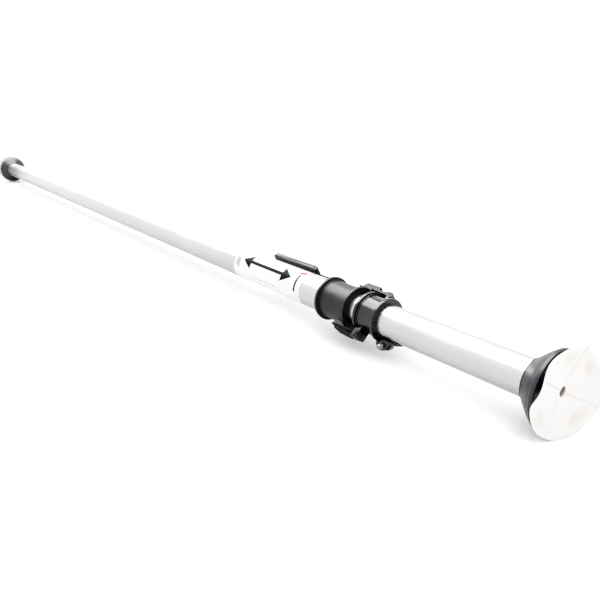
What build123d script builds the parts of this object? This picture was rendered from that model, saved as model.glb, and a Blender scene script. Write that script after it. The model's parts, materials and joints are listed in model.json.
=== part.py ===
"""Telescopic floor-to-ceiling tension pole with two clamp collars and two padded feet.

The pole lies along X. +X is the end of the thin inner tube (the top foot when it stands),
-X the end of the thick outer tube (the base foot). A place on the pole is given by three
numbers: its station, in mm from the top hub face towards the base; its reach, in mm out
from the pole's axis; and its bearing, in degrees about the axis from +Z towards +Y.
"""
from build123d import *
from math import cos, radians, sin, sqrt
import os

# ---- Driving dimensions, mm ---------------------------------------------------------------
CLOSED_LENGTH = 2100.0          # hub face to hub face
TELESCOPE_TRAVEL = 1600.0       # how far the inner tube pulls out
OUTER_TUBE_R = 22.5
INNER_TUBE_R = 20.0
TUBE_WALL = 1.5
RUNNING = 0.08                  # radial clearance of a sliding or turning fit
BORE_LIP_R = INNER_TUBE_R + 0.6  # plain holes that the inner tube passes through

# Feet: one shape, used at both ends
PAD_HALF = 44.0                 # half the height across the pad's flats
PAD_CORNER_R = 38.0
PAD_FRONT = -3.0                # the pad's rim stands this far before the hub face
PAD_BACK = 2.5
HUB_R = 9.0
HUB_BORE_R = 5.0
HUB_BUSH_R = 6.5
HUB_BORE_DEPTH = 8.0
CUP_RIM = 6.0                   # stations of the cup's rim, shoulder, web and tail
CUP_RIM_R = 40.2
CUP_SHOULDER = 11.0
CUP_SHOULDER_R = 41.2
CUP_WEB = 13.0
CUP_WEB_R = 30.0
CUP_TAIL = 30.2
CUP_TAIL_R = 22.2
CUP_SKIN = 2.0
TUBE_END = 16.0                 # the tube stops this far behind the hub face
FOOT_SCREW_R = 3.0
FOOT_SCREW_HEAD_R = 4.8
FOOT_SCREW_END = 38.0
PLUG_DEPTH = 26.0

# Clamp collar, which grips the inner tube
CLAMP_FRONT = 217.0
CLAMP_BACK = 251.0
CLAMP_BODY_R = 23.5
CLAMP_FLANGE_R = 27.0
CLAMP_FLANGE = 4.0
LINER_R = 21.5
LINER_LIP = 1.0
SLIT = 3.0
LUG_BEARING = -165.0
LUG_THICK = 5.0
LUG_TIP = 190.0
LUG_REACH = 34.7
PINCH_STATION = 212.0
PINCH_REACH = 29.5
PINCH_R = 2.5

# Fixed collar, at the mouth of the outer tube
FIXED_FRONT = 266.0
FIXED_BACK = 320.0
FIXED_BODY_R = 25.0
FIXED_FRONT_R = 28.5
FIXED_BACK_R = 29.0
FIXED_FLANGE = 4.0
FIXED_LIP = 2.0
MOUTH_BUSH_LENGTH = 24.0

# Tension lever, crank and thrust link
LEVER_BEARING = 62.0
PIVOT_STATION = 234.0
PIVOT_REACH = 28.0
CRANK = 8.0                     # from the lever's pivot to the crank pin, at 45 degrees
LINK_LENGTH = 30.0
LINK_HALF_WIDTH = 5.0
LINK_PIN_REACH = 28.5
CHEEK_IN = 6.0
CHEEK_OUT = 7.5
STRAP = 1.5                     # thickness of the lever's sheet steel
CHANNEL_TOP = 37.9
CHEEK_TOP = 36.7
CHANNEL_START = 259.0
CHANNEL_END = 282.0
STRAP_BOTTOM = 29.4
GRIP_START = 374.0
GRIP_END = 480.0
GRIP_BOTTOM = 27.5
GRIP_TOP = 36.0
GRIP_HALF_WIDTH = 8.5
PIVOT_PIN_R = 2.0
CRANK_PIN_R = 1.75
LINK_PIN_R = 1.5
EAR = 2.5                       # thickness of each pivot ear

# Clamp lever and the brake shoe under its cam
CAM_BEARING = -135.0
CAM_STATION = 243.0
CAM_REACH = 30.5
CAM_R = 5.5
CAM_THROW = 0.52
CAM_HALF_WIDTH = 6.0
CLAMP_LEVER_HALF_WIDTH = 7.5
CLAMP_LEVER_END = 287.0
CLAMP_LEVER_BOTTOM = 29.2
RIB_COUNT = 5
SHOE_HALF = 4.5
SHOE_TOP = 24.3
SHOE_ROOM = 0.3

# Inner end of the inner tube
GUIDE_STATION = 2030.0
GUIDE_LENGTH = 10.0
NECK_R = 16.0
BASE_PLUG_START = 2046.0

# Label on the outer tube
LABEL_START = 361.0
LABEL_END = 527.0
LABEL_SKIN = 0.15
LABEL_FROM = -140.0
LABEL_TO = 15.0

HALF = CLOSED_LENGTH / 2
OUTER_BORE_R = OUTER_TUBE_R - TUBE_WALL
INNER_BORE_R = INNER_TUBE_R - TUBE_WALL
CRANK_STATION = PIVOT_STATION + CRANK * cos(radians(45))
CRANK_REACH = PIVOT_REACH + CRANK * sin(radians(45))
LINK_DROP = CRANK_REACH - LINK_PIN_REACH
LINK_PIN_STATION = CRANK_STATION + sqrt(LINK_LENGTH ** 2 - LINK_DROP ** 2)
TURN = 360
BIG = 60.0                      # larger than any reach, for cutting slabs


# ---- Shapes in the pole's own frame: its axis is the X axis -------------------------------
def spun(points, arc=TURN):
    """Turn a closed outline of (station, reach) points about the pole's axis."""
    outline = Polyline([(HALF - u, 0, r) for u, r in points], close=True)
    return revolve(make_face(outline), Axis.X, arc)


def sleeve(start, end, outer, inner):
    """A plain ring or tube between two stations."""
    return spun([(start, inner), (start, outer), (end, outer), (end, inner)])


def rod(start, end, radius):
    """A solid round bar on the pole's axis between two stations."""
    return Pos(HALF - (start + end) / 2, 0, 0) * Rot(Y=90) * Cylinder(radius, end - start)


def slab(points, half_width):
    """A plate at bearing 0: an outline of (station, reach) points, as wide as stated."""
    outline = Polyline([(HALF - u, 0, r) for u, r in points], close=True)
    return extrude(make_face(outline), amount=half_width, both=True)


def block(start, end, low, high, half_width):
    """A rectangular slab between two stations and two reaches."""
    return slab([(start, low), (start, high), (end, high), (end, low)], half_width)


def cross_pin(station, reach, radius, half_width):
    """A round pin across the pole at bearing 0."""
    return Pos(HALF - station, 0, reach) * Rot(X=90) * Cylinder(radius, 2 * half_width)


def turned(shape, bearing):
    """Carry a shape built at bearing 0 round to its own bearing."""
    return Rot(X=-bearing) * shape


def ears(station, reach, radius, foot, inner, outer):
    """A pair of pivot ears: round heads on feet that reach down into the collar."""
    head = cross_pin(station, reach, radius, outer)
    stem = block(station - radius, station + radius, foot, reach, outer)
    gap = block(station - 2 * radius, station + 2 * radius, foot - 1, reach + 2 * radius, inner)
    return head + stem - gap


# ---- Feet: built at the top end, turned end for end for the base --------------------------
def foot_cup():
    flare = [(CUP_TAIL, INNER_TUBE_R), (CUP_TAIL, CUP_TAIL_R), (26.4, 25.4), (22.0, 29.8), (15.5, 36.2)]
    rim = [(CUP_SHOULDER, CUP_SHOULDER_R), (CUP_RIM, CUP_RIM_R), (CUP_RIM, CUP_RIM_R - CUP_SKIN)]
    inside = [(CUP_WEB, CUP_WEB_R), (CUP_WEB, FOOT_SCREW_R + 0.2)]
    socket = [(TUBE_END, FOOT_SCREW_R + 0.2), (TUBE_END, INNER_TUBE_R)]
    return spun(flare + rim + inside + socket)


def base_cup():
    cup = foot_cup() - rod(TUBE_END, CUP_TAIL + 1, OUTER_TUBE_R)
    collar = sleeve(TUBE_END, CUP_TAIL, OUTER_TUBE_R + 1.8, OUTER_TUBE_R)
    return cup + collar


def foot_pad():
    plate = extrude(Plane.YZ * RectangleRounded(2 * PAD_HALF, 2 * PAD_HALF, PAD_CORNER_R), PAD_BACK - PAD_FRONT)
    plate = Pos(HALF - PAD_BACK, 0, 0) * plate
    hub = rod(0, CUP_WEB, HUB_R)
    bore = rod(PAD_FRONT - 1, HUB_BORE_DEPTH, HUB_BUSH_R)
    recess = rod(HUB_BORE_DEPTH - 0.5, 12.0, FOOT_SCREW_HEAD_R)
    shank = rod(11.5, CUP_WEB + 1, FOOT_SCREW_R)
    return plate + hub - bore - recess - shank


def hub_bush():
    return sleeve(PAD_FRONT + 0.5, HUB_BORE_DEPTH, HUB_BUSH_R, HUB_BORE_R)


def foot_screw():
    head = rod(HUB_BORE_DEPTH, 12.0, FOOT_SCREW_HEAD_R)
    shank = rod(12.0, FOOT_SCREW_END, FOOT_SCREW_R)
    socket = Pos(HALF - HUB_BORE_DEPTH, 0, 0) * extrude(Plane.YZ * RegularPolygon(2.4, 6), -2.5)
    return head + shank - socket


def end_plug(radius):
    body = rod(TUBE_END, TUBE_END + PLUG_DEPTH, radius)
    return body - rod(TUBE_END - 1, FOOT_SCREW_END, FOOT_SCREW_R)


def at_base(shape):
    """Turn a foot piece end for end about the vertical, to the base of the pole."""
    return Rot(Z=180) * shape


# ---- Collars ------------------------------------------------------------------------------
def clamp_collar():
    body = spun([
        (CLAMP_FRONT, BORE_LIP_R), (CLAMP_FRONT, CLAMP_FLANGE_R),
        (CLAMP_FRONT + CLAMP_FLANGE, CLAMP_FLANGE_R), (CLAMP_FRONT + CLAMP_FLANGE, CLAMP_BODY_R),
        (CLAMP_BACK - CLAMP_FLANGE, CLAMP_BODY_R), (CLAMP_BACK - CLAMP_FLANGE, CLAMP_FLANGE_R),
        (CLAMP_BACK, CLAMP_FLANGE_R), (CLAMP_BACK, BORE_LIP_R),
    ])
    lever_ears = ears(PIVOT_STATION, PIVOT_REACH, 4.0, LINER_R - 1, CHEEK_OUT + 0.3, CHEEK_OUT + 0.3 + EAR)
    cam_ears = ears(CAM_STATION, CAM_REACH, 4.5, LINER_R - 1, CAM_HALF_WIDTH + 0.3, CAM_HALF_WIDTH + 0.3 + EAR)
    lug = slab([
        (LUG_TIP, 20.0), (LUG_TIP, 22.8), (PINCH_STATION - 7.5, 26.0), (PINCH_STATION - 5, 32.5),
        (PINCH_STATION - 2, LUG_REACH), (PINCH_STATION + 2.5, LUG_REACH), (CLAMP_FRONT + 5, 31.0),
        (CLAMP_FRONT + 5, 20.0),
    ], SLIT / 2 + LUG_THICK)
    body += turned(lever_ears, LEVER_BEARING)
    body += turned(cam_ears, CAM_BEARING)
    body += turned(lug, LUG_BEARING)
    body -= rod(CLAMP_FRONT + LINER_LIP, CLAMP_BACK - LINER_LIP, LINER_R)
    body -= rod(LUG_TIP - 1, CLAMP_BACK + 1, BORE_LIP_R)
    body -= turned(block(CAM_STATION - 8, CLAMP_BACK + 1, CLAMP_BODY_R + 0.5, BIG, CAM_HALF_WIDTH + 0.3), CAM_BEARING)
    body -= turned(block(LUG_TIP - 1, CLAMP_BACK + 1, 0, BIG, SLIT / 2), LUG_BEARING)
    body -= turned(cross_pin(PINCH_STATION, PINCH_REACH, PINCH_R, BIG), LUG_BEARING)
    body -= turned(cross_pin(PIVOT_STATION, PIVOT_REACH, PIVOT_PIN_R, BIG), LEVER_BEARING)
    body -= turned(cross_pin(CAM_STATION, CAM_REACH, PIVOT_PIN_R, BIG), CAM_BEARING)
    return body - shoe_window()


def shoe_window():
    half = SHOE_HALF + SHOE_ROOM
    return turned(block(CAM_STATION - half, CAM_STATION + half, 15.0, 25.5, half), CAM_BEARING)


def clamp_liner():
    ring = sleeve(CLAMP_FRONT + LINER_LIP, CLAMP_BACK - LINER_LIP, LINER_R, INNER_TUBE_R + RUNNING)
    ring -= turned(block(CLAMP_FRONT, CLAMP_BACK, 0, BIG, SLIT / 2), LUG_BEARING)
    return ring - shoe_window()


def brake_shoe():
    shoe = block(CAM_STATION - SHOE_HALF, CAM_STATION + SHOE_HALF, 16.0, SHOE_TOP, SHOE_HALF)
    shoe -= rod(CAM_STATION - BIG, CAM_STATION + BIG, INNER_TUBE_R + RUNNING)
    return turned(shoe, CAM_BEARING)


def fixed_collar():
    body = spun([
        (FIXED_FRONT, BORE_LIP_R), (FIXED_FRONT, FIXED_FRONT_R),
        (FIXED_FRONT + FIXED_FLANGE, FIXED_FRONT_R), (FIXED_FRONT + FIXED_FLANGE, FIXED_BODY_R),
        (FIXED_BACK - FIXED_FLANGE, FIXED_BODY_R), (FIXED_BACK - FIXED_FLANGE, FIXED_BACK_R),
        (FIXED_BACK, FIXED_BACK_R), (FIXED_BACK, OUTER_TUBE_R),
        (FIXED_FRONT + FIXED_LIP, OUTER_TUBE_R), (FIXED_FRONT + FIXED_LIP, BORE_LIP_R),
    ])
    link_ears = ears(LINK_PIN_STATION, LINK_PIN_REACH, 3.2, OUTER_TUBE_R - 1, CHEEK_OUT + 0.5, CHEEK_OUT + 0.5 + EAR)
    body += turned(link_ears, LEVER_BEARING)
    body -= rod(FIXED_FRONT + FIXED_LIP, FIXED_BACK + 1, OUTER_TUBE_R)
    body -= turned(block(FIXED_FRONT - 1, FIXED_FRONT + 9, FIXED_BODY_R, BIG, LINK_HALF_WIDTH + 0.6), LEVER_BEARING)
    body -= turned(cross_pin(LINK_PIN_STATION, LINK_PIN_REACH, LINK_PIN_R, BIG), LEVER_BEARING)
    return body - collar_screws(2.0, False)


def collar_screws(radius=2.0, sockets=True):
    """Two grub screws that hold the fixed collar to the outer tube, at the back and below."""
    screws = []
    for bearing in (120.0, -165.0):
        place = Pos(HALF - (FIXED_BACK - 12), 0, (OUTER_TUBE_R + FIXED_BODY_R) / 2)
        screw = place * Cylinder(radius, FIXED_BODY_R - OUTER_TUBE_R - 0.1)
        if sockets:
            top = Pos(HALF - (FIXED_BACK - 12), 0, FIXED_BODY_R)
            screw -= top * extrude(RegularPolygon(1.1, 6), -1.4)
        screws.append(turned(screw, bearing))
    return screws[0] + screws[1]


# ---- Levers -------------------------------------------------------------------------------
def tension_arm():
    cheek = slab([
        (PIVOT_STATION - 0.5, PIVOT_REACH + 3.9), (PIVOT_STATION + 3.5, CHEEK_TOP),
        (CHANNEL_START - 2, CHEEK_TOP), (CHANNEL_START, CHANNEL_TOP), (CHANNEL_END, CHANNEL_TOP), (CHANNEL_END + 4, STRAP_BOTTOM + 0.8),
        (CHANNEL_START, STRAP_BOTTOM + 0.8), (PIVOT_STATION + 2, PIVOT_REACH - 3.4),
    ], CHEEK_OUT)
    cheek += cross_pin(PIVOT_STATION, PIVOT_REACH, 4.0, CHEEK_OUT)
    hollow = slab([
        (PIVOT_STATION - 5, PIVOT_REACH - 5), (PIVOT_STATION - 5, CHANNEL_TOP + 1),
        (CHANNEL_START, CHANNEL_TOP + 1), (CHANNEL_START, CHANNEL_TOP - STRAP),
        (CHANNEL_END - 0.9, CHANNEL_TOP - STRAP), (CHANNEL_END + 3, PIVOT_REACH - 5),
    ], CHEEK_IN)
    strap = block(CHANNEL_END + 1.5, GRIP_START + 14, STRAP_BOTTOM, STRAP_BOTTOM + STRAP, CHEEK_OUT)
    arm = cheek - hollow + strap
    arm -= cross_pin(PIVOT_STATION, PIVOT_REACH, PIVOT_PIN_R + RUNNING, BIG)
    arm -= cross_pin(CRANK_STATION, CRANK_REACH, CRANK_PIN_R, BIG)
    for station in (GRIP_START + 5, GRIP_START + 11):
        arm -= rivet_hole(station)
    return turned(arm, LEVER_BEARING)


def rivet_hole(station):
    return Pos(HALF - station, 0, STRAP_BOTTOM) * Cylinder(1.2, 20)


def tension_grip():
    grip = slab([
        (GRIP_START, GRIP_BOTTOM + 1.2), (GRIP_START, GRIP_TOP - 2.5), (GRIP_START + 4, GRIP_TOP),
        (GRIP_END - 11, GRIP_TOP), (GRIP_END, GRIP_BOTTOM + 2), (GRIP_END - 1.5, GRIP_BOTTOM), (GRIP_START + 4, GRIP_BOTTOM),
    ], GRIP_HALF_WIDTH)
    long_edges = grip.edges().filter_by(Axis.X).sort_by(Axis.Z)[-2:]
    grip = fillet(long_edges, 2.0)
    grip -= block(GRIP_START - 1, GRIP_START + 14, STRAP_BOTTOM, STRAP_BOTTOM + STRAP, CHEEK_OUT)
    for station in (GRIP_START + 5, GRIP_START + 11):
        grip -= Pos(HALF - station, 0, GRIP_BOTTOM) * Cylinder(1.2, 11)
    return turned(grip, LEVER_BEARING)


def grip_rivets():
    """Two rivets, from the grip's underside through the strap."""
    rivets = []
    for station in (GRIP_START + 5, GRIP_START + 11):
        rivets.append(Pos(HALF - station, 0, GRIP_BOTTOM + 2.65) * Cylinder(1.2, 5.3))
    return turned(rivets[0] + rivets[1], LEVER_BEARING)


def thrust_link():
    """A bar from the crank pin to an open saddle that bears on the fixed collar's pin."""
    slope = LINK_DROP / (LINK_PIN_STATION - CRANK_STATION)
    rise = 2.0 * sqrt(1 + slope ** 2)
    bar = slab([
        (CRANK_STATION, CRANK_REACH + rise), (LINK_PIN_STATION, LINK_PIN_REACH + rise),
        (LINK_PIN_STATION, LINK_PIN_REACH - rise), (CRANK_STATION, CRANK_REACH - rise),
    ], LINK_HALF_WIDTH)
    bar += cross_pin(CRANK_STATION, CRANK_REACH, 3.0, LINK_HALF_WIDTH)
    bar += cross_pin(LINK_PIN_STATION, LINK_PIN_REACH, 3.2, LINK_HALF_WIDTH)
    bar -= cross_pin(CRANK_STATION, CRANK_REACH, CRANK_PIN_R + RUNNING, BIG)
    saddle = LINK_PIN_R + 0.5
    bar -= cross_pin(LINK_PIN_STATION, LINK_PIN_REACH, saddle, BIG)
    bar -= block(LINK_PIN_STATION - saddle, LINK_PIN_STATION + saddle, 20.0, LINK_PIN_REACH, BIG)
    bar -= block(LINK_PIN_STATION - 6, LINK_PIN_STATION + 6, 20.0, FIXED_BODY_R + 0.9, BIG)
    return turned(bar, LEVER_BEARING)


def pin_with_heads(station, reach, radius, half_width, bearing):
    """A pivot pin whose two ends are peened over the ears."""
    pin = cross_pin(station, reach, radius, half_width + 1.0)
    heads = cross_pin(station, reach, radius + 1.0, half_width + 1.0)
    heads -= cross_pin(station, reach, radius + 2.0, half_width)
    return turned(pin + heads, bearing)


def clamp_lever():
    lever = slab([
        (CAM_STATION - 2, CAM_REACH + 5.0), (CAM_STATION + 6, 36.4), (CAM_STATION + 40, 35.6),
        (CLAMP_LEVER_END, 32.5), (CLAMP_LEVER_END, CLAMP_LEVER_BOTTOM),
        (CAM_STATION + 5, CLAMP_LEVER_BOTTOM), (CAM_STATION, CAM_REACH - 4),
    ], CLAMP_LEVER_HALF_WIDTH)
    shoulder = block(CAM_STATION - 10, CAM_STATION + 7.5, 20.0, 40.0, BIG)
    shoulder -= block(CAM_STATION - 10, CAM_STATION + 8, 19.0, 41.0, CAM_HALF_WIDTH)
    lever -= shoulder
    lever += cross_pin(CAM_STATION, CAM_REACH - CAM_THROW, CAM_R, CAM_HALF_WIDTH)
    lever -= block(CAM_STATION + 11, CLAMP_LEVER_END - 3, 20.0, 33.0, CLAMP_LEVER_HALF_WIDTH - 2)
    for rib in range(RIB_COUNT):
        groove = CAM_STATION + 14 + rib * 5.5
        lever -= block(groove, groove + 2.2, 35.0, 40.0, CLAMP_LEVER_HALF_WIDTH + 1)
    lever -= cross_pin(CAM_STATION, CAM_REACH, PIVOT_PIN_R + RUNNING, BIG)
    return turned(lever, CAM_BEARING)


def pinch_screw():
    side = SLIT / 2 + LUG_THICK
    place = Pos(HALF - PINCH_STATION, 0, PINCH_REACH) * Rot(X=90)
    shank = place * Cylinder(PINCH_R, 2 * side)
    head = place * Pos(0, 0, side + 2.5) * Cylinder(4.25, 5)
    tip = place * Pos(0, 0, -side - 1.5) * Cylinder(PINCH_R, 3)
    socket = place * Pos(0, 0, side + 5) * extrude(RegularPolygon(2.3, 6), -3)
    return turned(shank + head + tip - socket, LUG_BEARING)


def pinch_nut():
    side = SLIT / 2 + LUG_THICK
    place = Pos(HALF - PINCH_STATION, 0, PINCH_REACH) * Rot(X=90)
    nut = place * Pos(0, 0, -side) * extrude(RegularPolygon(4.6, 6), -3.8)
    dome = place * Pos(0, 0, -side - 3.8) * Sphere(3.6)
    dome -= place * Pos(0, 0, -side + 8.2 - 3.8) * Cylinder(8, 16.4)
    hole = place * Pos(0, 0, -side - 1.5) * Cylinder(PINCH_R, 3)
    return turned(nut + dome - hole, LUG_BEARING)


# ---- Inner end of the inner tube ----------------------------------------------------------
def inner_end_plug():
    body = rod(GUIDE_STATION - 20, GUIDE_STATION, INNER_BORE_R)
    neck = rod(GUIDE_STATION, GUIDE_STATION + GUIDE_LENGTH, NECK_R)
    flange = rod(GUIDE_STATION + GUIDE_LENGTH, GUIDE_STATION + GUIDE_LENGTH + 3, INNER_TUBE_R - 0.5)
    return body + neck + flange - rod(GUIDE_STATION - 21, GUIDE_STATION + GUIDE_LENGTH + 4, 9.0)


def guide_ring():
    side_room = 0.3
    ring = sleeve(GUIDE_STATION + side_room, GUIDE_STATION + GUIDE_LENGTH - side_room,
                  OUTER_BORE_R - RUNNING, NECK_R + RUNNING)
    return ring


def tube_label():
    arc = LABEL_TO - LABEL_FROM
    skin = spun([
        (LABEL_START, OUTER_TUBE_R), (LABEL_START, OUTER_TUBE_R + LABEL_SKIN),
        (LABEL_END, OUTER_TUBE_R + LABEL_SKIN), (LABEL_END, OUTER_TUBE_R),
    ], arc)
    return turned(skin, LABEL_TO)


def nodes():
    """Every separate piece of the pole, by name, in the pole's own frame."""
    base_end = CLOSED_LENGTH - TUBE_END
    ear_side = CHEEK_OUT + 0.3 + EAR
    cam_side = CAM_HALF_WIDTH + 0.3 + EAR
    link_side = CHEEK_OUT + 0.5 + EAR
    link_pin = turned(cross_pin(LINK_PIN_STATION, LINK_PIN_REACH, LINK_PIN_R, link_side), LEVER_BEARING)
    base_plug = at_base(end_plug(OUTER_BORE_R))
    crank_pin = turned(cross_pin(CRANK_STATION, CRANK_REACH, CRANK_PIN_R, CHEEK_OUT), LEVER_BEARING)
    return {
        "outer_tube": sleeve(FIXED_FRONT + FIXED_LIP, base_end, OUTER_TUBE_R, OUTER_BORE_R),
        "fixed_collar": fixed_collar(),
        "mouth_bush": sleeve(FIXED_FRONT + FIXED_LIP, FIXED_FRONT + FIXED_LIP + MOUTH_BUSH_LENGTH,
                             OUTER_BORE_R, INNER_TUBE_R + RUNNING),
        "collar_screws": collar_screws(),
        "link_pin": link_pin,
        "base_plug": base_plug,
        "base_cup": at_base(base_cup()),
        "base_pad": at_base(foot_pad()),
        "base_hub_bush": at_base(hub_bush()),
        "base_screw": at_base(foot_screw()),
        "tube_label": tube_label(),
        "clamp_collar": clamp_collar(),
        "clamp_liner": clamp_liner(),
        "pinch_screw": pinch_screw(),
        "pinch_nut": pinch_nut(),
        "tension_lever_pin": pin_with_heads(PIVOT_STATION, PIVOT_REACH, PIVOT_PIN_R, ear_side, LEVER_BEARING),
        "clamp_lever_pin": pin_with_heads(CAM_STATION, CAM_REACH, PIVOT_PIN_R, cam_side, CAM_BEARING),
        "tension_arm": tension_arm(),
        "tension_grip": tension_grip(),
        "grip_rivets": grip_rivets(),
        "crank_pin": crank_pin,
        "thrust_link": thrust_link(),
        "clamp_lever": clamp_lever(),
        "brake_shoe": brake_shoe(),
        "guide_ring": guide_ring(),
        "inner_tube": sleeve(TUBE_END, GUIDE_STATION, INNER_TUBE_R, INNER_BORE_R),
        "inner_end_plug": inner_end_plug(),
        "top_plug": end_plug(INNER_BORE_R),
        "top_cup": foot_cup(),
        "top_pad": foot_pad(),
        "top_hub_bush": hub_bush(),
        "top_screw": foot_screw(),
    }


os.makedirs("parts", exist_ok=True)
LIE_ON_FLOOR = Pos(0, 0, PAD_HALF)
for name, shape in nodes().items():
    export_step(LIE_ON_FLOOR * shape, f"parts/{name}.step")
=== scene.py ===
"""Looks of a telescopic floor-to-ceiling tension pole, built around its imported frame.

Shapes are worked out in millimetres in the pole's own terms: a station is the distance from
the top hub face towards the base, a reach is the distance out from the pole's axis, a
bearing is the angle about the axis from straight up towards the back, and a side is the
distance across a bearing.
"""
import json

import bpy
import numpy as np
from bpy.props import FloatProperty, FloatVectorProperty, IntProperty, PointerProperty
from bpy.types import Operator, Panel, PropertyGroup
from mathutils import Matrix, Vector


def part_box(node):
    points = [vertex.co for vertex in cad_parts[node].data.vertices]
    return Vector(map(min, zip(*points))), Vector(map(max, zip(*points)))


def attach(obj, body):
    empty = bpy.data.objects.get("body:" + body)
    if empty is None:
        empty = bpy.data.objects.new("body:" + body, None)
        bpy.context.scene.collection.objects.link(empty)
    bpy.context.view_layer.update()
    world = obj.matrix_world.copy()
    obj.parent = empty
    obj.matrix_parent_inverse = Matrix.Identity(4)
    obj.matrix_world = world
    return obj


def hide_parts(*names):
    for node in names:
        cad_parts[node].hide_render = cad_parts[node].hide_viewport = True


bl_info = {
    "name": "Tension Pole",
    "version": (1, 0, 0),
    "blender": (4, 5, 0),
    "location": "3D View > Sidebar > Tension Pole",
    "description": "Surfaces and materials of a telescopic tension pole",
    "category": "Object",
}

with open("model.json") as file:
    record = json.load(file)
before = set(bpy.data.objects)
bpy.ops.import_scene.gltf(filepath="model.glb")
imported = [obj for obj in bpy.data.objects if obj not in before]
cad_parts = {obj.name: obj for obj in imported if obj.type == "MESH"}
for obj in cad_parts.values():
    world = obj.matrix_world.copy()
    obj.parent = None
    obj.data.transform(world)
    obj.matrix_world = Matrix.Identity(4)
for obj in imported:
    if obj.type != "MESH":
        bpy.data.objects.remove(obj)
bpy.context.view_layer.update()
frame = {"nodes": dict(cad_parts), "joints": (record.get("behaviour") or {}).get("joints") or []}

# ---- Places from the frame, in metres and then in millimetres ----
PAD_LIP = 0.003                       # the CAD pad's rim stands this far before its hub face
HUB_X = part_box("top_pad")[1].x - PAD_LIP
AXIS_Z = (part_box("outer_tube")[0].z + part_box("outer_tube")[1].z) / 2


def stations(node):
    """The first and last station of a CAD node."""
    low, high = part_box(node)
    return (HUB_X - high.x) * 1000, (HUB_X - low.x) * 1000


def round_reach(node):
    """The reach of a CAD node that is round about the pole's axis."""
    low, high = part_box(node)
    return (high.y - low.y) * 500


def joint_place(name):
    """The station and reach of a hinge."""
    at = next(joint for joint in frame["joints"] if joint["name"] == name)["pos_m"]
    return (HUB_X - at[0]) * 1000, 1000 * float(np.hypot(at[1], at[2] - AXIS_Z))


OUTER_R = round_reach("outer_tube")
INNER_R = round_reach("inner_tube")
PIVOT_STATION, PIVOT_REACH = joint_place("tension_lever_pivot")
CRANK_STATION, CRANK_REACH = joint_place("link_pivot")
CAM_STATION, CAM_REACH = joint_place("clamp_lever_pivot")
GRIP_START, GRIP_END = stations("tension_grip")
FIXED_FRONT, FIXED_BACK = stations("fixed_collar")

# ---- Bearings in degrees, and sizes in millimetres ----
LEVER_BEARING = 62.0
CLAMP_BEARING = -135.0
LUG_BEARING = -165.0
LABEL_BEARING = -62.5
LABEL_HALF_TURN = 77.5
SAG_BEARING = 28.0
CUP_SAG = 2.4                         # how far the cup's upper side is drawn in at its rim
CLAMP_FRONT = 217.0
CLAMP_BACK = 251.0
CLAMP_LEVER_END = 287.0
COLLAR_BORE = INNER_R + 0.6           # clear of the inner tube
PINCH_STATION = 212.0
PINCH_REACH = 29.5
CHANNEL_END = 283.0
CHANNEL_TOP = 37.9
SHEET = 1.5                           # thickness of the tension lever's steel
STRAP_REACH = 30.15
LINK_LENGTH = 29.55                   # along the pole, from the crank pin to the fixed collar's pin
FLOOR_CLEARANCE = 43.9                # the pads reach no lower than this below the axis
TONE_POINTS = ((0.02, 0.003), (0.06, 0.020), (0.18, 0.155), (0.5, 0.53))


# ---- Mesh building ----
def place(station, side, reach, bearing):
    """Station, side and reach at a bearing, as x, y and z in metres."""
    turn = np.radians(bearing)
    x = HUB_X - np.asarray(station) / 1000
    y = (reach * np.sin(turn) + side * np.cos(turn)) / 1000
    z = AXIS_Z + (reach * np.cos(turn) - side * np.sin(turn)) / 1000
    return np.stack(np.broadcast_arrays(x, y, z), -1)


def grid_faces(rows, columns, close_rows):
    """Four-sided faces of a grid of points, stored row by row, each row a closed loop."""
    row = np.arange(rows if close_rows else rows - 1)[:, None]
    column = np.arange(columns)[None, :]
    next_row = (row + 1) % rows
    next_column = (column + 1) % columns
    corners = (row * columns + column, row * columns + next_column,
               next_row * columns + next_column, next_row * columns + column)
    return np.stack(np.broadcast_arrays(*corners), -1).reshape(-1, 4)


def tube_of(grid, ring=False):
    """A shell from a grid whose rows are closed loops: joined end to end, or capped at both ends."""
    rows, columns = grid.shape[:2]
    faces = grid_faces(rows, columns, ring).tolist()
    if not ring:
        faces.append(list(range(columns)))
        faces.append(list(range((rows - 1) * columns, rows * columns))[::-1])
    return outward(grid.reshape(-1, 3), faces)


def outward(points, faces):
    """The same shell with its faces turned outwards: its signed volume is made positive."""
    quads = np.array([face for face in faces if len(face) == 4])
    a, b, c, d = (points[quads[:, i]] for i in range(4))
    volume = np.einsum("ij,ij->", a, np.cross(b, c)) + np.einsum("ij,ij->", a, np.cross(c, d))
    for face in faces:
        if len(face) > 4:
            fan = points[face]
            volume += (np.cross(fan[1:-1], fan[2:]) @ fan[0]).sum()
    if volume < 0:
        faces = [face[::-1] for face in faces]
    return points, faces


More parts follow.
